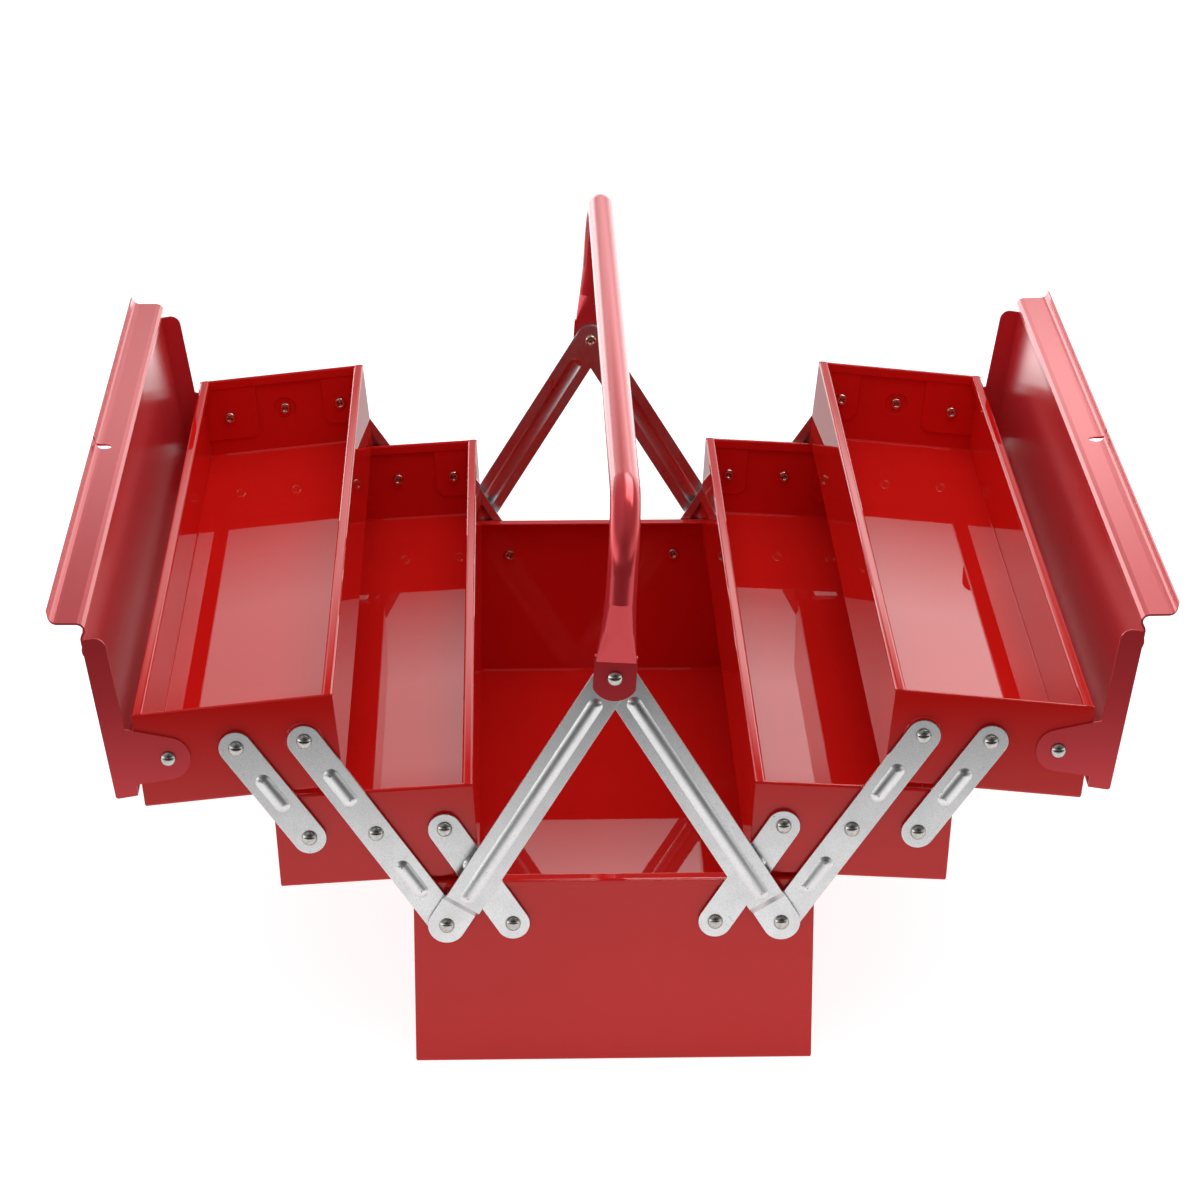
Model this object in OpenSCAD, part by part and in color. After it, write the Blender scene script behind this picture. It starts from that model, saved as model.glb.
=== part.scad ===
/* [Box] */
// Length of the base box over its end panels
box_l = 530; // [300:5:620]
// Width of the base box over its long walls
box_w = 200; // [180:1:240]
// Height of the base box
base_h = 100; // [85:1:130]
// Height of each tray
tray_h = 49.2; // [45:0.2:60]
// Thickness of the folded sheet
sheet_t = 1; // [0.7:0.1:1.2]
// Gap left between two stacked trays
stack_gap = 1.4; // [0.6:0.1:2]

/* [Linkage] */
// Distance between the two pivots on one end of the base, for one side
pivot_spacing = 33; // [31:0.5:38]
// Distance of the outermost pivot from the outer wall
pivot_edge = 16.5; // [13:0.5:18]
// Depth of every arm pivot below its rim
pivot_drop = 22.4; // [20:0.2:24]
// Width of the flat arms
arm_w = 16.6; // [12:0.2:18]
// Thickness of the flat arms
arm_t = 1.6; // [1.2:0.1:2]
// Lean of the long arms from upright when the box is open
open_lean = 34.7; // [30:0.1:38]
// Droop of the middle trays when the box is open
mid_tilt = 3.4; // [0:0.2:4]
// Droop of the upper trays when the box is open
top_tilt = 6; // [0:0.2:6.5]
// Diameter of the rivet shanks
rivet_d = 4.8; // [3.6:0.1:5]

/* [Lids] */
// Gap between a closed lid's plate and the tray rim
lid_lift = 4.2; // [3.6:0.1:6]
// Angle through which a lid opens
lid_open = 93.5; // [80:0.5:96]
// Depth of the flange along a lid's outer edge
lid_skirt = 11; // [7:0.5:12]
// Height of the lip that stands along a lid's free edge
lip_h = 14.2; // [11:0.2:18]
// Diameter of the padlock hole in the lip
padlock_d = 8; // [4:0.5:8]

/* [Handle] */
// Height of the handle rivets above the rims of the closed trays
handle_pin_rise = 11.8; // [11:0.2:20]
// Height of the grip's centre line above the handle rivets
handle_rise = 89; // [70:0.5:120]
// Diameter of the handle tube
tube_d = 15; // [12:0.5:18]
// Centre-line radius of the two handle bends
handle_bend = 32; // [24:1:45]
// Lean of the upright handle towards the right
handle_lean = 3.5; // [-10:0.5:10]
// Width of the long struts
strut_w = 18.8; // [15:0.2:20]

/* [Hidden] */

lacquer = [0.76, 0.07, 0.08];
zinc = [0.78, 0.79, 0.8];
nickel = [0.86, 0.86, 0.84];

// One overrun serves every cut
cut = 1;
bore_fn = 48;
roll_fn = 16;
bend_steps = 4;
round_steps = 3;

// Sheet work
fold_r = 1;
long_hem_w = 5.5;
long_hem_lip = 2.2;
closed_r = 0.7;
closed_run = 4.4;
base_hem_w = 7;
slit_w = 0.6;
rim_bead = 0.4;
rim_bead_h = 3;
foot_cut = 2.4;
cove_r = 1.1;
edge_set = 0.05;
inner_tab_w = 26;
inner_tab_h = 34;
outer_tab_w = 32;
outer_tab_h = 37;
tab_nip = 4;
boss_d = 15;
wide_boss_d = 19;
boss_rise = 0.8;
boss_taper = 0.6;
centre_gap = 1;

// Running gaps in the linkage
pin_play = 0.08;
layer_play = 0.1;
head_play = 0.4;
open_pivot_play = 0.42;

// Rivets
head_d = 7.8;
head_h = 2.6;
tail_ring_r = 2.1;
tail_roll_r = 0.85;
tail_bore_d = 2.7;
tail_bore_h = 4;

// Ribs pressed into arms and struts
rib_w = 7.6;
rib_rise = 1.3;
rib_sink = 0.5;
arm_rib_l = 23;
foot_l = 12;
joggle_l = 4;
strut_rib_start = 20.4;
strut_rib_stop = 18.5;

// Spacing that lets the trays droop outward and still close level
lower_spread = 0.9;
upper_spread = 0.6;

// Derived places in the end view, written for the right side, x outward
half_l = box_l / 2;
half_w = box_w / 2;
tray_w = half_w - centre_gap;
pitch = tray_h + stack_gap;
pivot_z = base_h - pivot_drop;
tray_pivot_z = tray_h - pivot_drop;
p1 = [half_w - pivot_edge, pivot_z];
p2 = p1 - [pivot_spacing, 0];
arm_reach = norm([pivot_spacing, pitch]);
q1_in = p1[0] - pivot_spacing - centre_gap;
q0_in = q1_in + pivot_spacing;
q2_in = q1_in - pivot_spacing - lower_spread;
r1_in = q1_in - pivot_spacing;
r0_in = r1_in + pivot_spacing + upper_spread;
q1 = p1 + arm_reach * [sin(open_lean), cos(open_lean)];
r1 = p1 + 2 * arm_reach * [sin(open_lean), cos(open_lean)];
q0 = q1 + turn([q0_in - q1_in, 0], mid_tilt);
q2 = q1 + turn([q2_in - q1_in, 0], mid_tilt);
r0 = r1 + turn([r0_in - r1_in, 0], top_tilt);
closed_lean = atan2(pivot_spacing, pitch);

// Short arms take the mean of their open and closed spans
lower_open = q2 - p2;
lower_closed = [q2_in + centre_gap, pivot_z + pitch] - p2;
lower_reach = (norm(lower_open) + norm(lower_closed)) / 2;
upper_open = r0 - q0;
upper_closed = [r0_in - q0_in, pitch];
upper_reach = (norm(upper_open) + norm(upper_closed)) / 2;

// Layers outboard of an end panel
arm_y = half_l + boss_rise + layer_play;
arm_face = arm_y + arm_t;
foot_y = arm_face + layer_play;
strut_y = arm_face + layer_play + head_h + head_play;
strut_step = strut_y - foot_y;
handle_y = strut_y + 2 * arm_t + 2 * layer_play;

// Handle
flat_t = 3.5;
flat_w = 21;
flat_down = 12;
flat_up = 11;
neck_w = 19.4;
neck_t = 6;
waist_w = 16.8;
waist_t = 11;
waist_rise = 25;
neck_end = 42;
tube_wall = 1.5;
pin_z = base_h + 2 * pitch + handle_pin_rise;
tube_y = handle_y + tube_d / 2;

// Lids, in a frame with u from the outer edge inward and w up from the plate's face
lid_end_gap = 0.2;
lid_side_gap = 0.8;
lid_pin_in = 15;
lid_pin_drop = 24.3;
lid_pin_u = lid_pin_in + lid_side_gap + sheet_t;
lid_pin_w = -(lid_pin_drop + lid_lift + sheet_t);
lip_dip_r = 3;
lip_dip = 50;
lip_rise_r = 3.6;
lip_lean = 80;
lip_curl_r = 4.6;
lip_curl = 78;
lip_tip = 1.6;
lip_room = 16.6;
lip_corner_r = 4;
lid_plate_u = tray_w + centre_gap + lid_side_gap + sheet_t - lip_room;
lid_flange_h = 11.5;
lid_corner_r = 6;
ear_r = 11;
ear_root = 18.8;
ear_side = [ear_root, -lid_flange_h - lid_pin_w];
ear_touch = atan2(ear_side[1], ear_side[0]) - acos(ear_r / norm(ear_side));
padlock_down = 5.4;
padlock_notch = 3;
notch_deep = 2;

// Turns a point of the end view outward side down
function turn(p, a) = [p[0] * cos(a) + p[1] * sin(a), p[1] * cos(a) - p[0] * sin(a)];

// Walks a path through runs [length, 0] and bends [radius, angle], left turns positive
function heading(a) = [cos(a), sin(a)];
function bend_at(p, a, r, b) =
    let (s = sign(b), c = p + r * s * heading(a + 90))
    [for (i = [1 : bend_steps]) c - r * s * heading(a + 90 + b * i / bend_steps)];
function step_points(p, a, s) = s[1] == 0 ? [p + s[0] * heading(a)] : bend_at(p, a, s[0], s[1]);
function walk(steps, p, a, i = 0) =
    i == len(steps) ? [p] :
    let (q = step_points(p, a, steps[i]))
    concat([p], [for (k = [0 : 1 : len(q) - 2]) q[k]], walk(steps, q[len(q) - 1], a + steps[i][1], i + 1));

// A strip of sheet along a path, seen edge on
function unit(v) = v / norm(v);
function side_of(path, i) =
    let (n = len(path), d = unit(path[min(i + 1, n - 1)] - path[max(i - 1, 0)]))
    [-d[1], d[0]];
function edge(path, d) = [for (i = [0 : len(path) - 1]) path[i] + d * side_of(path, i) / bite(path, i)];
function bite(path, i) =
    i == 0 || i == len(path) - 1 ? 1 : unit(path[i + 1] - path[i]) * unit(path[i + 1] - path[i - 1]);
module strip(path, t) {
    front = edge(path, t / 2);
    back = edge(path, -t / 2);
    polygon(concat(front, [for (i = [len(back) - 1 : -1 : 0]) back[i]]));
}

// Draws a flat outline of the end view as a plate between two depths along the box
module end_plate(y0, y1) {
    translate([0, y1, 0])
        rotate([90, 0, 0])
            linear_extrude(y1 - y0)
                children();
}

module round_bar(x, z, y0, y1, d) {
    translate([x, y1, z])
        rotate([90, 0, 0])
            cylinder(h = y1 - y0, d = d, $fn = bore_fn);
}

// Shows children at the rear end, and mirrored at the front end
module rear() {
    children();
}
module front() {
    mirror([0, 1, 0])
        children();
}
module both_ends() {
    rear()
        children();
    front()
        children();
}
module left() {
    mirror([1, 0, 0])
        children();
}

// Folded tray
module long_fold(w, h) {
    hem_run = long_hem_w - 2 * fold_r - sheet_t;
    wall_run = h - sheet_t - 2 * fold_r;
    floor_run = w - sheet_t - 2 * fold_r;
    steps = [
        [long_hem_lip, 0], [fold_r, 90], [hem_run, 0], [fold_r, 90], [wall_run, 0],
        [fold_r, 90], [floor_run, 0], [fold_r, 90], [wall_run, 0],
        [fold_r, 90], [hem_run, 0], [fold_r, 90], [long_hem_lip, 0]
    ];
    start = [sheet_t / 2 + 2 * fold_r + hem_run, h - sheet_t / 2 - fold_r - long_hem_lip];
    end_plate(-half_l + sheet_t / 2, half_l - sheet_t / 2)
        strip(walk(steps, start, 90), sheet_t);
}

// End panel with its top edge turned in flat, or doubled over where `turned` is true
module end_fold(w, h, turned) {
    r = turned ? closed_r : fold_r;
    top = h - edge_set - sheet_t / 2;
    panel_run = top - edge_set - r;
    face_y = half_l - sheet_t / 2;
    flat_steps = [[base_hem_w - r, 0], [r, -90], [panel_run, 0]];
    turned_steps = [[closed_run, 0], [r, -90], [r, -90], [panel_run, 0]];
    steps = turned ? turned_steps : flat_steps;
    start = turned ? [face_y - 2 * r, top - r - closed_run] : [face_y - base_hem_w, top];
    translate([edge_set, 0, 0])
        rotate([90, 0, 90])
            linear_extrude(w - 2 * edge_set)
                strip(walk(steps, start, turned ? 90 : 0), sheet_t);
}

// Narrow cove where the floor meets the end panel
module cove(w) {
    foot = sheet_t + cove_r;
    mid_y = half_l - sheet_t / 2;
    translate([sheet_t / 2, 0, 0])
        rotate([90, 0, 90])
            linear_extrude(w - sheet_t)
                polygon([
                    [half_l - foot, sheet_t / 2], [half_l - foot, sheet_t],
                    [half_l - sheet_t, foot], [mid_y, foot], [mid_y, sheet_t / 2]
                ]);
}

// Cuts the two bottom corners off an end panel
module foot_bites(w) {
    side = foot_cut * sqrt(2);
    for (x = [0, w])
        translate([x, half_l, 0])
            rotate([0, 45, 0])
                cube([side, 2 * (sheet_t + cut), side], center = true);
}

// Everything outside a rounded corner in the y and z directions, along x
module corner_cut(y, z, r, x0, x1, down) {
    round_points = [for (i = [0 : round_steps]) [y - r, z - down * r] + r * [
        cos(90 * i / round_steps), down * sin(90 * i / round_steps)]];
    outer = [[y - r, z + down * cut], [y + cut, z + down * cut], [y + cut, z - down * r]];
    translate([x0, 0, 0])
        rotate([90, 0, 90])
            linear_extrude(x1 - x0)
                polygon(concat(round_points, outer));
}

module tab(x0, dir, width, depth, h) {
    end_plate(half_l - 2 * sheet_t, half_l - sheet_t / 2)
        translate([x0, h - sheet_t])
            scale([dir, -1])
                polygon([[0, 0], [width, 0], [width, depth - tab_nip], [width - tab_nip, depth], [0, depth]]);
}

// Boss, sunk half a sheet into the panel
module boss(x, z, d) {
    sunk = sheet_t / 2;
    translate([x, half_l - sunk, z])
        rotate([-90, 0, 0])
            cylinder(
                h = boss_rise + sunk, d1 = d + 2 * boss_taper * sunk / boss_rise,
                d2 = d - 2 * boss_taper, $fn = bore_fn
            );
}
module boss_hollow(x, z, d) {
    mouth = d - 2 * boss_taper;
    translate([x, half_l - sheet_t - cut, z])
        rotate([-90, 0, 0])
            cylinder(
                h = boss_rise + cut, d1 = mouth + 2 * boss_taper * cut / boss_rise,
                d2 = mouth - 2 * boss_taper, $fn = bore_fn
            );
}
module shank_hole(x, z) {
    round_bar(x, z, half_l - 2 * sheet_t - cut, half_l + boss_rise + cut, rivet_d);
}

// Tray in its own frame: x from its inner wall outward, z up from its floor.
// Each pivot is [x, z, boss diameter, whether the boss is hollow behind].
module tray(w, h, turned, tabs, pivots, plain) {
    difference() {
        union() {
            long_fold(w, h);
            both_ends()
                end_wall(w, h, turned, tabs, pivots, plain);
        }
        both_ends()
            corner_cut(half_l, 0, fold_r + sheet_t / 2, -cut, w + cut, -1);
    }
}
module end_wall(w, h, turned, tabs, pivots, plain) {
    cove(w);
    difference() {
        union() {
            end_fold(w, h, turned);
            tab(sheet_t / 2, 1, tabs[0][0], tabs[0][1], h);
            tab(w - sheet_t / 2, -1, tabs[1][0], tabs[1][1], h);
            for (p = pivots)
                boss(p[0], p[1], p[2]);
        }
        for (p = pivots)
            if (p[3])
                boss_hollow(p[0], p[1], p[2]);
        for (p = concat(pivots, plain))
            shank_hole(p[0], p[1]);
        foot_bites(w);
    }
}
inner_tab = [inner_tab_w, inner_tab_h];
outer_tab = [outer_tab_w, outer_tab_h];

module hang(pin, local, tilt) {
    translate([pin[0], 0, pin[1]])
        rotate([0, tilt, 0])
            translate([-local[0], 0, -local[1]])
                children();
}

lid_pin = [tray_w - lid_pin_in, tray_h - lid_pin_drop];
module place_middle() {
    hang(q1, [q1_in, tray_pivot_z], mid_tilt)
        children();
}
module place_upper() {
    hang(r1, [r1_in, tray_pivot_z], top_tilt)
        children();
}

module middle_tray() {
    pivots = [for (x = [q0_in, q1_in, q2_in]) [x, tray_pivot_z, boss_d, false]];
    color(lacquer)
        place_middle()
            tray(tray_w, tray_h, true, [inner_tab, outer_tab], pivots, []);
}

module upper_tray() {
    pivots = [[r1_in, tray_pivot_z, wide_boss_d, false], [r0_in, tray_pivot_z, boss_d, true]];
    color(lacquer)
        place_upper()
            tray(tray_w, tray_h, true, [inner_tab, outer_tab], pivots, [lid_pin]);
}

// Base box, with a proud bead along the top of each end panel and slits where its hems meet
module base_box() {
    pivots = [for (x = [p1[0], p2[0], -p1[0], -p2[0]]) [half_w + x, pivot_z, boss_d, false]];
    color(lacquer)
        translate([-half_w, 0, 0])
            difference() {
                union() {
                    tray(box_w, base_h, false, [outer_tab, outer_tab], pivots, []);
                    both_ends()
                        rim_band();
                }
                both_ends()
                    for (x = [long_hem_w, box_w - long_hem_w - slit_w])
                        translate([x, half_l - base_hem_w - sheet_t, base_h - 2 * sheet_t])
                            cube([slit_w, base_hem_w - fold_r, 2 * sheet_t + cut]);
            }
}
module rim_band() {
    end_plate(half_l - sheet_t / 2, half_l + rim_bead)
        translate([edge_set, base_h - sheet_t / 2 - rim_bead_h])
            square([box_w - 2 * edge_set, rim_bead_h]);
}

// Lid
module lid_frame() {
    place_upper()
        translate([lid_pin[0], 0, lid_pin[1]])
            rotate([0, lid_open, 0])
                translate([lid_pin_u, 0, -lid_pin_w])
                    mirror([1, 0, 0])
                        children();
}

module lid_fold() {
    skirt_run = lid_skirt - sheet_t / 2 - fold_r;
    plate_run = lid_plate_u - sheet_t / 2 - fold_r;
    dipped = lip_dip_r * (1 - cos(lip_dip)) - lip_rise_r * (cos(lip_dip) - cos(lip_lean));
    curled = lip_curl_r * (cos(lip_lean - lip_curl) - cos(lip_lean));
    stand = (lip_h + dipped - curled) / sin(lip_lean);
    steps = [
        [skirt_run, 0], [fold_r, -90], [plate_run, 0],
        [lip_dip_r, -lip_dip], [lip_rise_r, lip_dip + lip_lean],
        [stand, 0], [lip_curl_r, -lip_curl], [lip_tip, 0]
    ];
    reach = half_l + lid_end_gap + sheet_t / 2;
    end_plate(-reach, reach)
        strip(walk(steps, [sheet_t / 2, -lid_skirt], 90), sheet_t);
}
module lid_end() {
    pin = [lid_pin_u, lid_pin_w];
    end_plate(half_l + lid_end_gap, half_l + lid_end_gap + sheet_t) {
        difference() {
            union() {
                polygon([
                    [edge_set, -fold_r], [fold_r, -edge_set],
                    [lid_plate_u, -edge_set], [lid_plate_u, lid_corner_r - lid_flange_h],
                    [lid_plate_u - lid_corner_r, -lid_flange_h],
                    pin + ear_side, pin + ear_r * heading(ear_touch),
                    pin - [ear_r, 0], [lid_pin_u - ear_r, -lid_flange_h],
                    [edge_set, edge_set - lid_skirt]
                ]);
                translate([lid_plate_u - lid_corner_r, lid_corner_r - lid_flange_h])
                    circle(r = lid_corner_r, $fn = bore_fn);
                translate(pin)
                    circle(r = ear_r, $fn = bore_fn);
            }
            translate(pin)
                circle(d = rivet_d + 2 * pin_play, $fn = bore_fn);
        }
    }
}

module lid() {
    hole_w = lip_h - padlock_down;
    color(lacquer)
        lid_frame()
            difference() {
                union() {
                    lid_fold();
                    both_ends()
                        lid_end();
                }
                translate([lid_plate_u, 0, hole_w])
                    rotate([0, 90, 0])
                        cylinder(h = lip_room, d = padlock_d, $fn = bore_fn);
                translate([lid_plate_u + lip_room - notch_deep, -padlock_notch / 2, hole_w])
                    cube([notch_deep, padlock_notch, lip_h]);
                both_ends()
                    corner_cut(
                        half_l + lid_end_gap + sheet_t / 2, lip_h, lip_corner_r,
                        lid_plate_u + lip_dip_r, lid_plate_u + lip_room + cut, 1
                    );
            }
}

// A pressed rib: a shallow round ridge with round ends, along x
rib_r = (rib_w * rib_w / 4 + rib_rise * rib_rise) / (2 * rib_rise);
module ridge(x0, x1, base) {
    translate([0, 0, base])
        intersection() {
            translate([0, 0, rib_rise - rib_r])
                union() {
                    translate([x0, 0, 0])
                        rotate([0, 90, 0])
                            cylinder(h = x1 - x0, r = rib_r, $fn = bore_fn);
                    translate([x0, 0, 0])
                        sphere(r = rib_r, $fn = bore_fn);
                    translate([x1, 0, 0])
                        sphere(r = rib_r, $fn = bore_fn);
                }
            translate([x0 - rib_w, -rib_w, -rib_sink])
                cube([x1 - x0 + 2 * rib_w, 2 * rib_w, 2 * rib_rise]);
        }
}

// Flat bar along x with round ends, pressed ribs and holes, its back face at z = 0
module bar(length, w, holes, ribs) {
    difference() {
        union() {
            translate([0, -w / 2, 0])
                cube([length, w, arm_t]);
            cylinder(h = arm_t, d = w, $fn = bore_fn);
            translate([length, 0, 0])
                cylinder(h = arm_t, d = w, $fn = bore_fn);
            for (r = ribs)
                ridge(r[0], r[1], arm_t);
        }
        for (r = ribs)
            ridge(r[0], r[1], 0);
        for (h = holes)
            translate([h[0], 0, -cut])
                cylinder(h = arm_t + 2 * cut, d = h[1], $fn = bore_fn);
    }
}

// Lays a bar on the outside of the rear end panel from one pivot towards another
module lay(from, to, y) {
    d = to - from;
    translate([from[0], y, from[1]])
        rotate([0, -atan2(d[1], d[0]), 0])
            rotate([-90, 0, 0])
                children();
}

running = rivet_d + 2 * pin_play;
module long_arm() {
    mid = arm_reach / 2;
    ribs = [for (c = [mid, mid + arm_reach]) [c - arm_rib_l / 2 + rib_w / 2, c + arm_rib_l / 2 - rib_w / 2]];
    color(zinc)
        lay(p1, r1, arm_y)
            bar(2 * arm_reach, arm_w, [[0, running], [arm_reach, running], [2 * arm_reach, running]], ribs);
}
module short_arm(from, to, reach) {
    rib = [reach / 2 - arm_rib_l / 2 + rib_w / 2, reach / 2 + arm_rib_l / 2 - rib_w / 2];
    color(zinc)
        lay(from, to, arm_y)
            bar(reach, arm_w, [[0, running], [reach, running + 2 * open_pivot_play]], [rib]);
}
module lower_arm() {
    short_arm(p2, q2, lower_reach);
}
module upper_arm() {
    short_arm(q0, r0, upper_reach);
}

// Strut: its foot lies on the long arm, and a joggle lifts the rest clear of the rivet heads
module strut(lift) {
    span = norm([p1[0], pin_z - pivot_z]);
    out = strut_step + lift;
    slant = arm_t * (1 - cos(45));
    edge_on = [
        [-strut_w, 0], [foot_l, 0], [foot_l + joggle_l, out], [span + strut_w, out],
        [span + strut_w, out + arm_t], [foot_l + joggle_l - slant, out + arm_t],
        [foot_l - slant, arm_t], [-strut_w, arm_t]
    ];
    rib = [strut_rib_start, span - strut_rib_stop];
    color(zinc)
        lay(p1, [0, pin_z], foot_y)
            difference() {
                intersection() {
                    union() {
                        rotate([90, 0, 0])
                            translate([0, 0, -strut_w])
                                linear_extrude(2 * strut_w)
                                    polygon(edge_on);
                        ridge(rib[0], rib[1], out + arm_t);
                    }
                    union() {
                        translate([0, -strut_w / 2, -cut])
                            cube([span, strut_w, out + arm_t + rib_rise + 2 * cut]);
                        translate([0, 0, -cut])
                            cylinder(h = out + arm_t + 2 * cut, d = strut_w, $fn = bore_fn);
                        translate([span, 0, -cut])
                            cylinder(h = out + arm_t + 2 * cut, d = strut_w, $fn = bore_fn);
                    }
                }
                ridge(rib[0], rib[1], out);
                for (x = [0, span])
                    translate([x, 0, -cut])
                        cylinder(h = out + arm_t + 2 * cut, d = rivet_d, $fn = bore_fn);
            }
}
left_lift = arm_t + layer_play;

// Handle: a bent tube whose ends are pressed flat and riveted on
module handle_end() {
    intersection() {
        union() {
            round_bar(0, 0, handle_y, handle_y + flat_t, 2 * flat_down);
            translate([-flat_down, handle_y, 0])
                cube([2 * flat_down, flat_t, flat_up]);
        }
        translate([-flat_w / 2, handle_y - cut, -flat_down])
            cube([flat_w, flat_t + 2 * cut, flat_up + flat_down]);
    }
    hull() {
        translate([-neck_w / 2, handle_y, flat_up - flat_t / 2])
            cube([neck_w, neck_t, flat_t / 2]);
        waist();
    }
    hull() {
        waist();
        translate([0, tube_y, neck_end])
            cylinder(h = flat_t / 2, d = tube_d, $fn = 32);
    }
}
module waist() {
    translate([0, handle_y + waist_t / 2, waist_rise])
        scale([waist_w, waist_t, 1])
            cylinder(h = flat_t / 2, d = 1, $fn = 32);
}

module tube_path(d) {
    leg = handle_rise - handle_bend - neck_end;
    run = 2 * (tube_y - handle_bend);
    both_ends() {
        translate([0, tube_y, neck_end])
            cylinder(h = leg, d = d, $fn = bore_fn);
        translate([0, tube_y - handle_bend, handle_rise - handle_bend])
            rotate([90, 0, 90])
                rotate_extrude(angle = 90, $fn = 2 * bore_fn)
                    translate([handle_bend, 0])
                        circle(d = d, $fn = bore_fn);
    }
    translate([0, run / 2, handle_rise])
        rotate([90, 0, 0])
            cylinder(h = run, d = d, $fn = bore_fn);
}

module carry_handle() {
    color(lacquer)
        translate([0, 0, pin_z])
            rotate([0, handle_lean, 0])
                difference() {
                    union() {
                        tube_path(tube_d);
                        both_ends()
                            handle_end();
                    }
                    tube_path(tube_d - 2 * tube_wall);
                    both_ends()
                        round_bar(0, 0, handle_y - cut, handle_y + flat_t + cut, running);
                }
}

// Rivet on the rear end: domed head outboard, rolled hollow tail inboard
head_r = (head_d * head_d / 4 + head_h * head_h) / (2 * head_h);
module rivet(x, z, inner_y, head_y) {
    tail_y = inner_y - tail_roll_r;
    difference() {
        union() {
            round_bar(x, z, tail_y, head_y + head_h / 2, rivet_d);
            translate([x, tail_y, z])
                rotate([90, 0, 0])
                    rotate_extrude($fn = bore_fn)
                        translate([tail_ring_r, 0])
                            circle(r = tail_roll_r, $fn = roll_fn);
            intersection() {
                translate([x, head_y + head_h - head_r, z])
                    sphere(r = head_r, $fn = bore_fn);
                round_bar(x, z, head_y, head_y + 2 * head_h, 2 * head_d);
            }
        }
        round_bar(x, z, tail_y - tail_roll_r - cut, inner_y + tail_bore_h, tail_bore_d);
    }
}

tab_in = half_l - 2 * sheet_t;
panel_in = half_l - sheet_t;
boss_in = panel_in + boss_rise;
arm_head = arm_face + layer_play;
module base_side_rivets() {
    rivet(p1[0], pivot_z, tab_in, foot_y + arm_t);
    rivet(p2[0], pivot_z, panel_in, arm_head);
}
module base_rivets() {
    color(nickel)
        both_ends() {
            base_side_rivets();
            left()
                base_side_rivets();
        }
}
module handle_rivets() {
    color(nickel)
        both_ends()
            rivet(0, pin_z, strut_y, handle_y + flat_t + layer_play);
}
module middle_tray_rivets() {
    color(nickel)
        place_middle()
            both_ends() {
                rivet(q0_in, tray_pivot_z, tab_in, arm_head);
                rivet(q1_in, tray_pivot_z, panel_in, arm_head);
                rivet(q2_in, tray_pivot_z, tab_in, arm_head);
            }
}
module upper_tray_rivets() {
    color(nickel)
        place_upper()
            both_ends() {
                rivet(r0_in, tray_pivot_z, boss_in, arm_head);
                rivet(r1_in, tray_pivot_z, tab_in, arm_head);
            }
}
module lid_rivets() {
    color(nickel)
        place_upper()
            both_ends()
                rivet(lid_pin[0], lid_pin[1], tab_in, half_l + lid_end_gap + sheet_t + layer_play);
}

base_box();
left() middle_tray();  // middle_tray_left
middle_tray();  // middle_tray_right
left() upper_tray();  // upper_tray_left
upper_tray();  // upper_tray_right
left() lid();  // lid_left
lid();  // lid_right
carry_handle();
left() front() strut(left_lift);  // strut_left_front
front() strut(0);  // strut_right_front
left() rear() strut(left_lift);  // strut_left_rear
rear() strut(0);  // strut_right_rear
left() front() long_arm();  // long_arm_left_front
left() rear() long_arm();  // long_arm_left_rear
front() long_arm();  // long_arm_right_front
rear() long_arm();  // long_arm_right_rear
left() front() lower_arm();  // lower_arm_left_front
left() rear() lower_arm();  // lower_arm_left_rear
front() lower_arm();  // lower_arm_right_front
rear() lower_arm();  // lower_arm_right_rear
left() front() upper_arm();  // upper_arm_left_front
left() rear() upper_arm();  // upper_arm_left_rear
front() upper_arm();  // upper_arm_right_front
rear() upper_arm();  // upper_arm_right_rear
base_rivets();
handle_rivets();
left() middle_tray_rivets();  // middle_tray_rivets_left
middle_tray_rivets();  // middle_tray_rivets_right
left() upper_tray_rivets();  // upper_tray_rivets_left
upper_tray_rivets();  // upper_tray_rivets_right
left() lid_rivets();  // lid_rivets_left
lid_rivets();  // lid_rivets_right
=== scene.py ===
"""Looks of a red cantilever tool box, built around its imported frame."""
import math

import bpy
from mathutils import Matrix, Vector


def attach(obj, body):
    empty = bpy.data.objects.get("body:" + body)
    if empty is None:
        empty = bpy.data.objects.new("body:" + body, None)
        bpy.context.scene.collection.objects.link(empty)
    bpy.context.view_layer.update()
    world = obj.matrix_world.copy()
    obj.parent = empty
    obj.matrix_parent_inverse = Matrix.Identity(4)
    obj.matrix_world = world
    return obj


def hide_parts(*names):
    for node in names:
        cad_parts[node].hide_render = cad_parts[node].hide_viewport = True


bl_info = {
    "name": "Cantilever Tool Box",
    "version": (1, 0, 0),
    "blender": (4, 5, 0),
    "location": "View3D > Sidebar > Tool Box",
    "description": "Lacquer, plating and studio for a folding steel tool box",
    "category": "Object",
}

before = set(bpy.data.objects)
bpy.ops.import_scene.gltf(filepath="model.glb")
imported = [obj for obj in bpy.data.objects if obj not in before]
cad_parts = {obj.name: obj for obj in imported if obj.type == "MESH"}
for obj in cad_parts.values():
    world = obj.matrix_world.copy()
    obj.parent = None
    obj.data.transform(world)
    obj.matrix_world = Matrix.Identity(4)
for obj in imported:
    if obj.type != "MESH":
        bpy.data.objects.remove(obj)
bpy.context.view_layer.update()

SIDES = ("left", "right")
ENDS = ("front", "rear")
TRAYS = ("base_box",) + tuple(f"{tray}_tray_{side}" for tray in ("middle", "upper") for side in SIDES)
LIDS = tuple(f"lid_{side}" for side in SIDES)
STRUTS = tuple(f"strut_{side}_{end}" for side in SIDES for end in ENDS)
ARMS = tuple(
    f"{arm}_arm_{side}_{end}" for arm in ("long", "lower", "upper") for side in SIDES for end in ENDS)
RIVETS = {"frame": ("base_rivets", "handle_rivets")}
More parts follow.
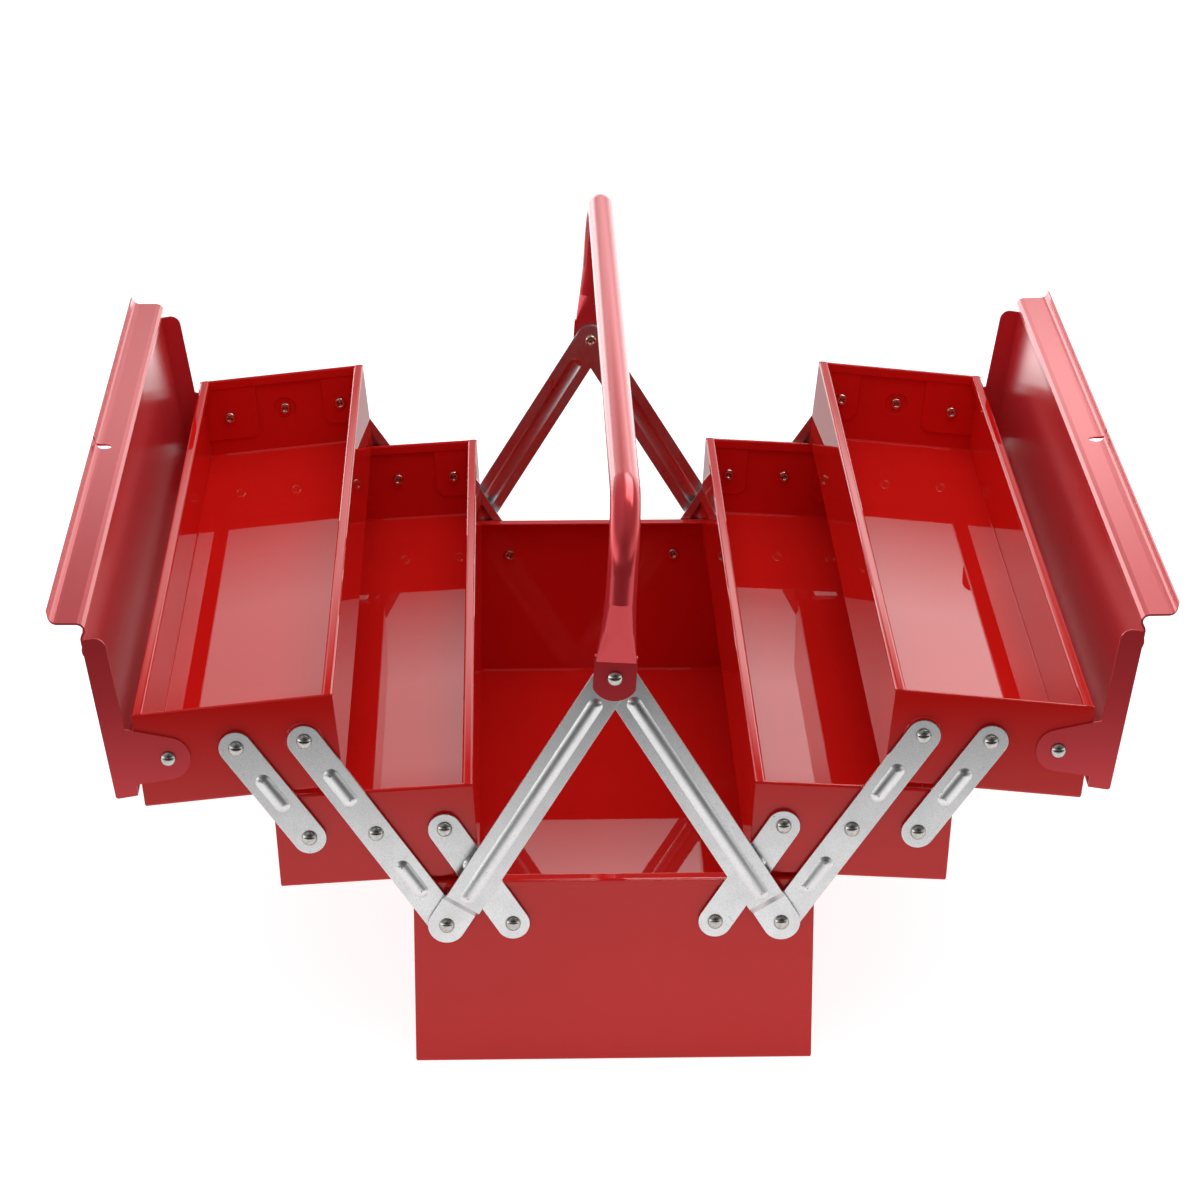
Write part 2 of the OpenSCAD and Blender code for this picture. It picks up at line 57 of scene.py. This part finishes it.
for _side in SIDES:
    RIVETS[f"middle_tray_{_side}"] = (f"middle_tray_rivets_{_side}",)
    RIVETS[f"upper_tray_{_side}"] = (f"upper_tray_rivets_{_side}", f"lid_rivets_{_side}")

WHITE = (1.0, 1.0, 1.0, 1.0)
# Where a noise crosses from one look to the other, for broad clouds and for rare specks
BROAD = (0.3, 0.7)
RARE = (0.63, 0.72)

# Every point of a rivet lies this near its first point in x and z, in metres
RIVET_REACH = 0.012
ROUND_SIDES = 40
DOME_RINGS = 24
ROLL_SIDES = 16

# Places, targets and sizes of the lamps, in metres
KEY_LAMP = ("key_lamp", (0.1, -0.05, 1.35), (0.1, -0.05, 0.0), (1.0, 0.7))
RIM_LAMP = ("rim_lamp", (0.0, 2.3, 1.15), (0.0, 0.0, 0.2), (2.2, 0.9))

# The photo's camera: place in metres, dip and turn in degrees, sensor in millimetres, sight in metres
CAMERA_PLACE = (-0.05244, -2.20669, 0.99)
CAMERA_DIP = 20.88
CAMERA_TURN = -1.34
SENSOR_WIDTH = 36.0
SIGHT = 100.0


# Node trees

class Tree:
    """Adds and links the nodes of one material, world or geometry group."""

    def __init__(self, group):
        self.nodes = group.nodes
        self.links = group.links
        self.nodes.clear()

    def add(self, kind, inputs=None, **settings):
        """A node of that kind; inputs are constants or the sockets of other nodes."""
        made = self.nodes.new(kind)
        for name, value in settings.items():
            setattr(made, name, value)
        for key, value in (inputs or {}).items():
            socket = made.inputs[key]
            if isinstance(value, bpy.types.NodeSocket):
                self.links.new(value, socket)
            else:
                socket.default_value = value
        return made

    def place(self):
        """Object coordinates: a spot keeps its texture whatever the view."""
        return self.add("ShaderNodeTexCoord").outputs["Object"]

    def noise(self, scale, detail=2.0, roughness=0.5):
        inputs = {"Vector": self.place(), "Scale": scale, "Detail": detail, "Roughness": roughness}
        return self.add("ShaderNodeTexNoise", inputs).outputs["Fac"]

    def span(self, value, low, high, out_low=0.0, out_high=1.0):
        """Maps low..high of a value to out_low..out_high, clamped."""
        return self.add("ShaderNodeMapRange", {
            "Value": value, "From Min": low, "From Max": high,
            "To Min": out_low, "To Max": out_high}).outputs["Result"]

    def mix(self, factor, a, b):
        """Mixes two colours, whose sockets are the sixth and seventh after the factor's."""
        made = self.add("ShaderNodeMix", data_type="RGBA")
        for socket, value in zip((made.inputs[0], made.inputs[6], made.inputs[7]), (factor, a, b)):
            if isinstance(value, bpy.types.NodeSocket):
                self.links.new(value, socket)
            else:
                socket.default_value = value
        return made.outputs[2]

    def math(self, operation, a, b):
        return self.add("ShaderNodeMath", {0: a, 1: b}, operation=operation).outputs[0]

    def product(self, first, *others):
        """All the factors multiplied together."""
        for other in others:
            first = self.math("MULTIPLY", first, other)
        return first

    def axes(self, vector):
        """The X, Y and Z of a vector."""
        return self.add("ShaderNodeSeparateXYZ", {0: vector}).outputs

    def glow(self, strength):
        """White light of that strength."""
        return self.add("ShaderNodeEmission", {"Color": WHITE, "Strength": strength}).outputs[0]

    def rounded(self, radius):
        """Normals that round off the sharp edges of the mesh."""
        return self.add("ShaderNodeBevel", {"Radius": radius}, samples=4).outputs["Normal"]

    def bump(self, height, strength, distance, normal=None):
        inputs = {"Height": height, "Strength": strength, "Distance": distance}
        if normal is not None:
            inputs["Normal"] = normal
        return self.add("ShaderNodeBump", inputs).outputs["Normal"]


def new_finish(name):
    """A new material and its empty tree."""
    material = bpy.data.materials.new(name)
    material.use_nodes = True
    return material, Tree(material.node_tree)


def shaded(colour, share=1.0):
    """An opaque colour, darkened to a share of itself."""
    return (colour[0] * share, colour[1] * share, colour[2] * share, 1.0)


def red_lacquer(options):
    """Stoved gloss enamel on folded sheet: deep red under a clear, slightly wavy skin."""
    material, tree = new_finish("red_lacquer")
    folds = tree.rounded(radius=0.0005)
    waves = tree.noise(scale=22.0, detail=1.5)
    peel = tree.noise(scale=420.0)
    normal = tree.bump(waves, strength=0.06, distance=0.0004, normal=folds)
    normal = tree.bump(peel, strength=0.05, distance=0.00002, normal=normal)
    shade = tree.span(tree.noise(scale=9.0), *BROAD)
    deep = shaded(options.colour, share=0.93)
    body = tree.add("ShaderNodeBsdfPrincipled", {
        "Base Color": tree.mix(shade, deep, shaded(options.colour)),
        "Roughness": options.roughness,
        "Specular IOR Level": 0.0,
        "Coat Weight": options.coat,
        "Coat Roughness": options.coat_roughness,
        "Coat IOR": 1.46,
        "Coat Normal": normal,
        "Normal": normal,
    })
    tree.add("ShaderNodeOutputMaterial", {"Surface": body.outputs[0]})
    return material


def zinc_plate(options):
    """Rolled strip with a thin zinc plating: fine grain, faint clouds and a few rubbed specks."""
    material, tree = new_finish("zinc_plate")
    edges = tree.rounded(radius=0.0004)
    cloud = tree.noise(scale=45.0, detail=3.0, roughness=0.6)
    grain = tree.noise(scale=1500.0, roughness=0.6)
    specks = tree.span(tree.noise(scale=420.0, detail=5.0, roughness=0.75), *RARE)
    bright = shaded(options.colour)
    dull = shaded(options.colour, share=0.8)
    rubbed = shaded(options.colour, share=0.5)
    plating = tree.mix(tree.span(grain, low=0.3, high=0.62), dull, bright)
    plating = tree.mix(tree.span(cloud, *BROAD, out_high=0.25), plating, dull)
    smooth, rough = options.roughness * 0.85, options.roughness * 1.15
    body = tree.add("ShaderNodeBsdfPrincipled", {
        "Base Color": tree.mix(specks, plating, rubbed),
        "Metallic": 1.0,
        "Roughness": tree.span(cloud, *BROAD, smooth, rough),
        "Normal": tree.bump(grain, strength=0.12, distance=0.00002, normal=edges),
    })
    tree.add("ShaderNodeOutputMaterial", {"Surface": body.outputs[0]})
    return material


def plated_rivet(name, colour, roughness):
    """Bright plating with a little tarnish."""
    material, tree = new_finish(name)
    tarnish = tree.span(tree.noise(scale=600.0, detail=3.0), low=0.4, high=0.75)
    tarnished = roughness * 2.2
    body = tree.add("ShaderNodeBsdfPrincipled", {
        "Base Color": tree.mix(tarnish, shaded(colour), shaded(colour, share=0.7)),
        "Metallic": 1.0,
        "Roughness": tree.span(tarnish, 0.0, 1.0, roughness, tarnished),
    })
    tree.add("ShaderNodeOutputMaterial", {"Surface": body.outputs[0]})
    return material


def dress(nodes, material):
    """Gives each CAD node one finish."""
    for name in nodes:
        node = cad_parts[name]
        node.data.materials.clear()
        node.data.materials.append(material)


# Rivets

def rivet_places(node):
    """Axis, outer tip and inner tip of every rivet in a CAD node, in metres."""
    groups = []
    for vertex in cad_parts[node].data.vertices:
        x, y, z = vertex.co
        for group in groups:
            gx, gy, gz = group[0]
            if abs(x - gx) < RIVET_REACH and abs(z - gz) < RIVET_REACH and y * gy > 0:
                group.append((x, y, z))
                break
        else:
            groups.append([(x, y, z)])
    places = []
    for group in groups:
        xs, ys, zs = ([point[axis] for point in group] for axis in range(3))
        outer, inner = max(ys, key=abs), min(ys, key=abs)
        places.append(((min(xs) + max(xs)) / 2, (min(zs) + max(zs)) / 2, outer, inner))
    return places


def rivet_points(name, nodes, options):
    """One point for the head and one for the tail of every rivet of a body."""
    points, turns, grips, heads = [], [], [], []
    for node in nodes:
        for x, z, outer, inner in rivet_places(node):
            outward = math.copysign(1.0, outer)
            head_y = outer - outward * options.head_height
            tail_y = inner + outward * options.roll_radius
            for y, head in ((head_y, True), (tail_y, False)):
                points.append((x, y, z))
                turns.append((-outward * math.pi / 2, 0.0, 0.0))
                grips.append(abs(head_y - tail_y))
                heads.append(head)
    mesh = bpy.data.meshes.new(name)
    mesh.from_pydata(points, [], [])
    turn = mesh.attributes.new("turn", "FLOAT_VECTOR", "POINT")
    turn.data.foreach_set("vector", [part for value in turns for part in value])
    mesh.attributes.new("grip", "FLOAT", "POINT").data.foreach_set("value", grips)
    mesh.attributes.new("head", "BOOLEAN", "POINT").data.foreach_set("value", heads)
    return mesh


def rivet_tree():
    """Geometry Nodes: a domed head and shank at each head point, a rolled tail at each tail point."""
    group = bpy.data.node_groups.new("set_rivets", "GeometryNodeTree")
    group.interface.new_socket("Points", in_out="INPUT", socket_type="NodeSocketGeometry")
    for name in (
            "Head Radius", "Head Height", "Shank Radius", "Ring Radius", "Roll Radius", "Bore Depth"):
        group.interface.new_socket(name, in_out="INPUT", socket_type="NodeSocketFloat")
    for name in ("Head Finish", "Tail Finish"):
        group.interface.new_socket(name, in_out="INPUT", socket_type="NodeSocketMaterial")
    group.interface.new_socket("Rivets", in_out="OUTPUT", socket_type="NodeSocketGeometry")
    tree = Tree(group)
    sizes = tree.add("NodeGroupInput").outputs

    def stored(name, kind):
        return tree.add("GeometryNodeInputNamedAttribute", {"Name": name}, data_type=kind).outputs[0]

    turn = stored("turn", "FLOAT_VECTOR")
    grip = stored("grip", "FLOAT")
    head = stored("head", "BOOLEAN")
    tail = tree.add("FunctionNodeBooleanMath", {0: head}, operation="NOT").outputs[0]

    def placed(part, selection, scale=None, move=None):
        """A smooth part, set at its points and made real."""
        if move is not None:
            part = tree.add("GeometryNodeTransform", {"Geometry": part, "Translation": move}).outputs[0]
        part = tree.add("GeometryNodeSetShadeSmooth", {0: part}).outputs[0]
        inputs = {"Points": sizes["Points"], "Selection": selection, "Instance": part, "Rotation": turn}
        if scale is not None:
            inputs["Scale"] = scale
        made = tree.add("GeometryNodeInstanceOnPoints", inputs).outputs[0]
        return tree.add("GeometryNodeRealizeInstances", {0: made}).outputs[0]

    def along(x, y, z):
        return tree.add("ShaderNodeCombineXYZ", {0: x, 1: y, 2: z}).outputs[0]

    def finished(parts, finish):
        """The parts joined and given their material."""
        joined = tree.add("GeometryNodeJoinGeometry", {0: parts[0]})
        for part in parts[1:]:
            tree.links.new(part, joined.inputs[0])
        inputs = {"Geometry": joined.outputs[0], "Material": finish}
        return tree.add("GeometryNodeSetMaterial", inputs).outputs[0]

    ball = tree.add("GeometryNodeMeshUVSphere", {
        "Segments": ROUND_SIDES, "Rings": DOME_RINGS, "Radius": 1.0}).outputs["Mesh"]
    height = tree.axes(tree.add("GeometryNodeInputPosition").outputs[0])["Z"]
    brim = -0.01
    under = tree.add("FunctionNodeCompare", {
        "A": height, "B": brim}, data_type="FLOAT", operation="LESS_THAN").outputs[0]
    dome = tree.add("GeometryNodeDeleteGeometry", {"Geometry": ball, "Selection": under}).outputs[0]
    dome_size = along(sizes["Head Radius"], sizes["Head Radius"], sizes["Head Height"])
    dome = tree.add("GeometryNodeTransform", {"Geometry": dome, "Scale": dome_size}).outputs[0]
    heads = placed(dome, head)
    shank_length = 1.0
    shank = tree.add("GeometryNodeMeshCylinder", {
        "Vertices": ROUND_SIDES, "Radius": sizes["Shank Radius"], "Depth": shank_length}).outputs["Mesh"]
    shanks = placed(shank, head, along(1.0, 1.0, grip), (0.0, 0.0, -shank_length / 2))

    ring = tree.add("GeometryNodeCurvePrimitiveCircle", {
        "Resolution": ROUND_SIDES, "Radius": sizes["Ring Radius"]}).outputs["Curve"]
    roll = tree.add("GeometryNodeCurvePrimitiveCircle", {
        "Resolution": ROLL_SIDES, "Radius": sizes["Roll Radius"]}).outputs["Curve"]
    rolled = tree.add("GeometryNodeCurveToMesh", {"Curve": ring, "Profile Curve": roll}).outputs[0]
    rolled = placed(rolled, tail)
    bitten = tree.product(sizes["Roll Radius"], 0.8)
    inside = tree.math("SUBTRACT", sizes["Ring Radius"], bitten)
    bore = tree.add("GeometryNodeMeshCylinder", {
        "Vertices": ROUND_SIDES, "Radius": inside, "Depth": sizes["Bore Depth"],
    }, fill_type="NONE").outputs["Mesh"]
    half_bore = tree.product(sizes["Bore Depth"], 0.5)
    bores = placed(bore, tail, None, along(0.0, 0.0, half_bore))

    whole = tree.add("GeometryNodeJoinGeometry", {0: finished((heads, shanks), sizes["Head Finish"])})
    tree.links.new(finished((rolled, bores), sizes["Tail Finish"]), whole.inputs[0])
    tree.add("NodeGroupOutput", {0: whole.outputs[0]})
    return group


def set_rivets(context, options, group, finishes, body, nodes):
    """Makes the rivets of one body as a plain mesh in place of their CAD solids."""
    name = f"{body}_rivet_set"
    piece = bpy.data.objects.new(name, rivet_points(name, nodes, options))
    context.scene.collection.objects.link(piece)
    modifier = piece.modifiers.new("rivets", "NODES")
    modifier.node_group = group
    values = {
        "Head Radius": options.head_radius, "Head Height": options.head_height,
        "Shank Radius": options.shank_radius, "Ring Radius": options.ring_radius,
        "Roll Radius": options.roll_radius, "Bore Depth": options.bore_depth,
        "Head Finish": finishes[0], "Tail Finish": finishes[1],
    }
    for item in group.interface.items_tree:
        if item.in_out == "INPUT" and item.name in values:
            modifier[item.identifier] = values[item.name]
    made = bpy.data.meshes.new_from_object(piece.evaluated_get(context.evaluated_depsgraph_get()))
    if not made.polygons:
        raise RuntimeError(f"{name} came out empty")
    piece.modifiers.clear()
    piece.data = made
    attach(piece, body)
    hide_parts(*nodes)


# Settings

def colour_of(name, description, default):
    return bpy.props.FloatVectorProperty(
        name=name, description=description, subtype="COLOR", size=3, min=0.0, max=1.0, default=default)


def share_of(name, description, default):
    return bpy.props.FloatProperty(
        name=name, description=description, subtype="FACTOR", min=0.0, max=1.0, default=default)


def length_of(name, description, default):
    return bpy.props.FloatProperty(
        name=name, description=description, subtype="DISTANCE", unit="LENGTH", default=default)


def power_of(name, description, default):
    return bpy.props.FloatProperty(
        name=name, description=description, unit="POWER", min=0.0, default=default)


class LacquerSettings(bpy.types.PropertyGroup):
    """Red enamel of the box, trays, lids and handle"""
    colour: colour_of("Colour", "Colour of the enamel", (0.78, 0.013, 0.01))
    roughness: share_of("Roughness", "Roughness of the colour layer", 0.45)
    coat: share_of("Gloss Layer", "Weight of the clear skin", 0.75)
    coat_roughness: share_of("Gloss Roughness", "Roughness of the clear skin", 0.015)


class ZincSettings(bpy.types.PropertyGroup):
    """Plated strip of the arms and struts"""
    colour: colour_of("Colour", "Colour of the plating", (0.69, 0.695, 0.70))
    roughness: share_of("Roughness", "Roughness of the plating", 0.32)


class RivetSettings(bpy.types.PropertyGroup):
    """Rivets of the linkage, lids and handle"""
    head_radius: length_of("Head Radius", "Radius of a domed head", 0.0039)
    head_height: length_of("Head Height", "Height of a domed head", 0.0026)
    shank_radius: length_of("Shank Radius", "Radius of the shank", 0.0024)
    ring_radius: length_of("Ring Radius", "Radius of the rolled tail along its middle", 0.0024)
    roll_radius: length_of("Roll Radius", "Radius of the roll of a tail", 0.00095)
    bore_depth: length_of("Bore Depth", "Depth of the hole in a tail", 0.0035)
    tail_colour: colour_of("Tail Colour", "Colour of the rolled tails", (0.8, 0.72, 0.58))
    colour: colour_of("Colour", "Colour of the heads", (0.45, 0.44, 0.42))
    roughness: share_of("Roughness", "Roughness of the rivets", 0.12)


class StageSettings(bpy.types.PropertyGroup):
    """Floor, lamps and camera"""
    floor_size: length_of("Floor Size", "Side of the square floor", 30.0)
    paper_edge: length_of("Paper Edge", "Where the bright paper ends in front of the box", -0.62)
    card_level: share_of("Card Level", "Brightness of the white card behind the box", 1.0)
    roof_level: bpy.props.FloatProperty(
        name="Roof Level", description="Brightness of the white card over the box",
        min=0.0, default=5.0)
    sky_level: share_of("Sky Level", "Strength of the soft light all round", 0.55)
    key_power: power_of("Key Power", "Power of the large lamp overhead", 4.3)
    rim_power: power_of("Rim Power", "Power of the long lamp behind the box", 2.5)
    focal_length: bpy.props.FloatProperty(
        name="Focal Length", description="Focal length of the camera in millimetres",
        unit="CAMERA", min=1.0, default=128.38)


class ToolBoxSettings(bpy.types.PropertyGroup):
    """Everything that a user would change on the tool box"""
    lacquer: bpy.props.PointerProperty(type=LacquerSettings)
    zinc: bpy.props.PointerProperty(type=ZincSettings)
    rivet: bpy.props.PointerProperty(type=RivetSettings)
    stage: bpy.props.PointerProperty(type=StageSettings)


def settings(context):
    return context.scene.tool_box


# Operators

class TOOLBOX_OT_trays(bpy.types.Operator):
    """Lacquer the base box and the four trays"""
    bl_idname = "toolbox.trays"
    bl_label = "Base and Trays"

    def execute(self, context):
        dress(TRAYS, red_lacquer(settings(context).lacquer))
        return {"FINISHED"}


class TOOLBOX_OT_lids(bpy.types.Operator):
    """Lacquer the two lids"""
    bl_idname = "toolbox.lids"
    bl_label = "Lids"

    def execute(self, context):
        dress(LIDS, bpy.data.materials["red_lacquer"])
        return {"FINISHED"}


class TOOLBOX_OT_handle(bpy.types.Operator):
    """Lacquer the tubular carrying handle"""
    bl_idname = "toolbox.handle"
    bl_label = "Handle"

    def execute(self, context):
        dress(("carry_handle",), bpy.data.materials["red_lacquer"])
        return {"FINISHED"}


class TOOLBOX_OT_linkage(bpy.types.Operator):
    """Plate the struts and the flat arms"""
    bl_idname = "toolbox.linkage"
    bl_label = "Struts and Arms"

    def execute(self, context):
        dress(STRUTS + ARMS, zinc_plate(settings(context).zinc))
        return {"FINISHED"}


class TOOLBOX_OT_rivets(bpy.types.Operator):
    """Set a plated rivet at every pivot"""
    bl_idname = "toolbox.rivets"
    bl_label = "Rivets"

    def execute(self, context):
        options = settings(context).rivet
        head = plated_rivet("rivet_nickel", options.colour, options.roughness)
        tail = plated_rivet("rivet_brass", options.tail_colour, options.roughness)
        group = rivet_tree()
        for body, nodes in RIVETS.items():
            dress(nodes, head)
            set_rivets(context, options, group, (head, tail), body, nodes)
        return {"FINISHED"}


class TOOLBOX_OT_stage(bpy.types.Operator):
    """Lay the floor, hang the lamps and set up the camera"""
    bl_idname = "toolbox.stage"
    bl_label = "Studio"

    def execute(self, context):
        options = settings(context).stage
        lay_floor(context, options)
        light_world(context, options)
        hang_lamp(context, *KEY_LAMP, options.key_power)
        hang_lamp(context, *RIM_LAMP, options.rim_power)
        wall_card(context, options)
        roof_card(context, options)
        aim_camera(context, options)
        context.scene.view_settings.view_transform = "Standard"
        return {"FINISHED"}


def stage_sheet(context, name, finish, corners):
    """A flat four-cornered sheet of the studio, with an empty material of its own."""
    mesh = bpy.data.meshes.new(name)
    mesh.from_pydata(corners, [], [(0, 1, 2, 3)])
    sheet = bpy.data.objects.new(name, mesh)
    context.scene.collection.objects.link(sheet)
    material, tree = new_finish(finish)
    mesh.materials.append(material)
    return sheet, tree


def lay_floor(context, options):
    """White paper to the eye; gloss sees it from its edge to just behind the box, and again far off."""
    half = options.floor_size / 2
    edge = options.paper_edge
    white, dark = (0.86, 0.86, 0.86, 1.0), (0.06, 0.06, 0.06, 1.0)
    floor, tree = stage_sheet(context, "floor", "floor_paper", [
        (-half, -half, 0.0), (half, -half, 0.0), (half, half, 0.0), (-half, half, 0.0)])
    path = tree.add("ShaderNodeLightPath").outputs
    eye, gloss, bounced = path["Is Camera Ray"], path["Is Glossy Ray"], path["Is Diffuse Ray"]
    forward = tree.axes(tree.place())["Y"]
    before_edge, past_edge = edge - 0.12, edge + 0.06
    near = tree.span(forward, before_edge, past_edge)
    paper_seen = tree.math("MAXIMUM", near, eye)
    paper = tree.add("ShaderNodeBsdfDiffuse", {"Color": tree.mix(paper_seen, dark, white)})

    middle = tree.span(forward, low=0.3, high=0.6, out_low=1.0, out_high=0.1)
    far = tree.span(forward, low=0.98, high=1.06, out_high=1.8)
    sheen = tree.product(near, tree.math("ADD", middle, far), gloss)
    # Paper right before the box throws more light up at its front
    before_box = tree.span(forward, low=-0.3, high=-0.1, out_low=0.5, out_high=0.0)
    thrown = tree.product(near, before_box, bounced)
    shining = tree.math("MAXIMUM", tree.math("MAXIMUM", sheen, eye), thrown)
    strength = tree.product(shining, tree.span(eye, 0.0, 1.0, out_low=0.8, out_high=0.85))
    lit = tree.add("ShaderNodeAddShader", {0: paper.outputs[0], 1: tree.glow(strength)})
    tree.add("ShaderNodeOutputMaterial", {"Surface": lit.outputs[0]})


def hang_card(context, name, corners, level):
    """A white card that only gloss sees; level makes its brightness from the place on it."""
    card, tree = stage_sheet(context, name, name, corners)
    shine = tree.glow(level(tree, tree.axes(tree.place())))
    tree.add("ShaderNodeOutputMaterial", {"Surface": shine})
    for ray in ("camera", "diffuse", "shadow", "transmission"):
        setattr(card, f"visible_{ray}", False)


def wall_card(context, options):
    """The card behind the box is brighter to the right and fades at its top and foot."""
    low, high, half, back = 0.45, 0.85, 1.6, 1.25
    left_level, right_level = options.card_level * 1.1, options.card_level * 2.6

    def level(tree, place):
        across = tree.span(place["X"], -0.5, 0.5, left_level, right_level)
        top = tree.span(place["Z"], low=0.68, high=0.78, out_low=1.0, out_high=0.05)
        foot = tree.span(place["Z"], low=0.52, high=0.6, out_low=0.3)
        return tree.product(across, top, foot)

    hang_card(context, "wall_card", [
        (-half, back, low), (half, back, low), (half, back, high), (-half, back, high)], level)


def roof_card(context, options):
    """The card overhead gives the bends, rims and rivet heads their small bright lights."""
    left, right, near, far, height = -0.05, 1.2, -0.15, 2.2, 1.5
    blur = 0.1

    def level(tree, place):
        side = tree.span(place["X"], left, left + blur)
        front = tree.span(place["Y"], near, near + blur)
        return tree.product(side, front, options.roof_level)

    hang_card(context, "roof_card", [
        (left, near, height), (left, far, height), (right, far, height), (right, near, height)], level)


def light_world(context, options):
    """White to the eye; soft light from all sides, and least from the camera's."""
    world = context.scene.world or bpy.data.worlds.new("studio")
    context.scene.world = world
    world.use_nodes = True
    tree = Tree(world.node_tree)
    path = tree.add("ShaderNodeLightPath").outputs
    way = tree.axes(tree.add("ShaderNodeTexCoord").outputs["Generated"])
    rise = tree.span(way["Z"], low=-0.3, high=0.9, out_low=0.85)
    behind = tree.span(way["Y"], low=-1.0, high=0.0, out_low=0.5)
    soft = tree.product(rise, behind, options.sky_level)
    # Gloss sees bright walls low down on all sides but the camera's, and the left one is brightest
    front = tree.span(way["Y"], low=-0.9, high=-0.55, out_low=0.12)
    lower = tree.span(way["Z"], low=0.05, high=0.4, out_low=1.6, out_high=0.25)
    left = tree.span(way["X"], low=-0.2, high=-0.08, out_low=1.9, out_high=1.0)
    glossy = tree.product(left, front, lower)
    # On a mix of plain numbers, socket 0 is the factor and 2 and 3 are the numbers
    mixed = {0: path["Is Glossy Ray"], 2: soft, 3: glossy}
    level = tree.add("ShaderNodeMix", mixed, data_type="FLOAT").outputs[0]
    clear = tree.math("MAXIMUM", path["Is Camera Ray"], path["Is Transmission Ray"])
    level = tree.math("MAXIMUM", level, clear)
    sky = tree.add("ShaderNodeBackground", {"Color": WHITE, "Strength": level})
    tree.add("ShaderNodeOutputWorld", {"Surface": sky.outputs[0]})


def hang_lamp(context, name, place, target, size, power):
    """A rectangular lamp that gloss doesn't see, turned to its target."""
    lamp = bpy.data.lights.new(name, "AREA")
    lamp.shape = "RECTANGLE"
    lamp.size, lamp.size_y = size
    lamp.energy = power
    holder = bpy.data.objects.new(name, lamp)
    holder.location = place
    holder.rotation_euler = (Vector(target) - Vector(place)).to_track_quat("-Z", "Y").to_euler()
    holder.visible_glossy = False
    context.scene.collection.objects.link(holder)


def aim_camera(context, options):
    """The photo's own view of the box."""
    lens = bpy.data.cameras.new("photo_camera")
    lens.sensor_width = SENSOR_WIDTH
    lens.lens = options.focal_length
    lens.clip_end = SIGHT
    camera = bpy.data.objects.new("photo_camera", lens)
    camera.location = CAMERA_PLACE
    camera.rotation_euler = (math.radians(90 - CAMERA_DIP), 0.0, math.radians(CAMERA_TURN))
    context.scene.collection.objects.link(camera)
    context.scene.camera = camera


STEPS = (
    TOOLBOX_OT_trays, TOOLBOX_OT_lids, TOOLBOX_OT_handle,
    TOOLBOX_OT_linkage, TOOLBOX_OT_rivets, TOOLBOX_OT_stage,
)


class TOOLBOX_PT_panel(bpy.types.Panel):
    """Settings and steps of the tool box"""
    bl_idname = "TOOLBOX_PT_panel"
    bl_label = "Tool Box"
    bl_space_type = "VIEW_3D"
    bl_region_type = "UI"
    bl_category = "Tool Box"

    def draw(self, context):
        options = settings(context)
        for group in (options.lacquer, options.zinc, options.rivet, options.stage):
            box = self.layout.box()
            for name in group.__annotations__:
                box.prop(group, name)
        for step in STEPS:
            self.layout.operator(step.bl_idname)


CLASSES = (
    LacquerSettings, ZincSettings, RivetSettings, StageSettings, ToolBoxSettings,
) + STEPS + (TOOLBOX_PT_panel,)


def register():
    for cls in CLASSES:
        bpy.utils.register_class(cls)
    bpy.types.Scene.tool_box = bpy.props.PointerProperty(type=ToolBoxSettings)


def unregister():
    del bpy.types.Scene.tool_box
    for cls in reversed(CLASSES):
        bpy.utils.unregister_class(cls)


def main():
    register()
    for step in STEPS:
        group, name = step.bl_idname.split(".")
        getattr(getattr(bpy.ops, group), name)()


if __name__ == "__main__":
    main()
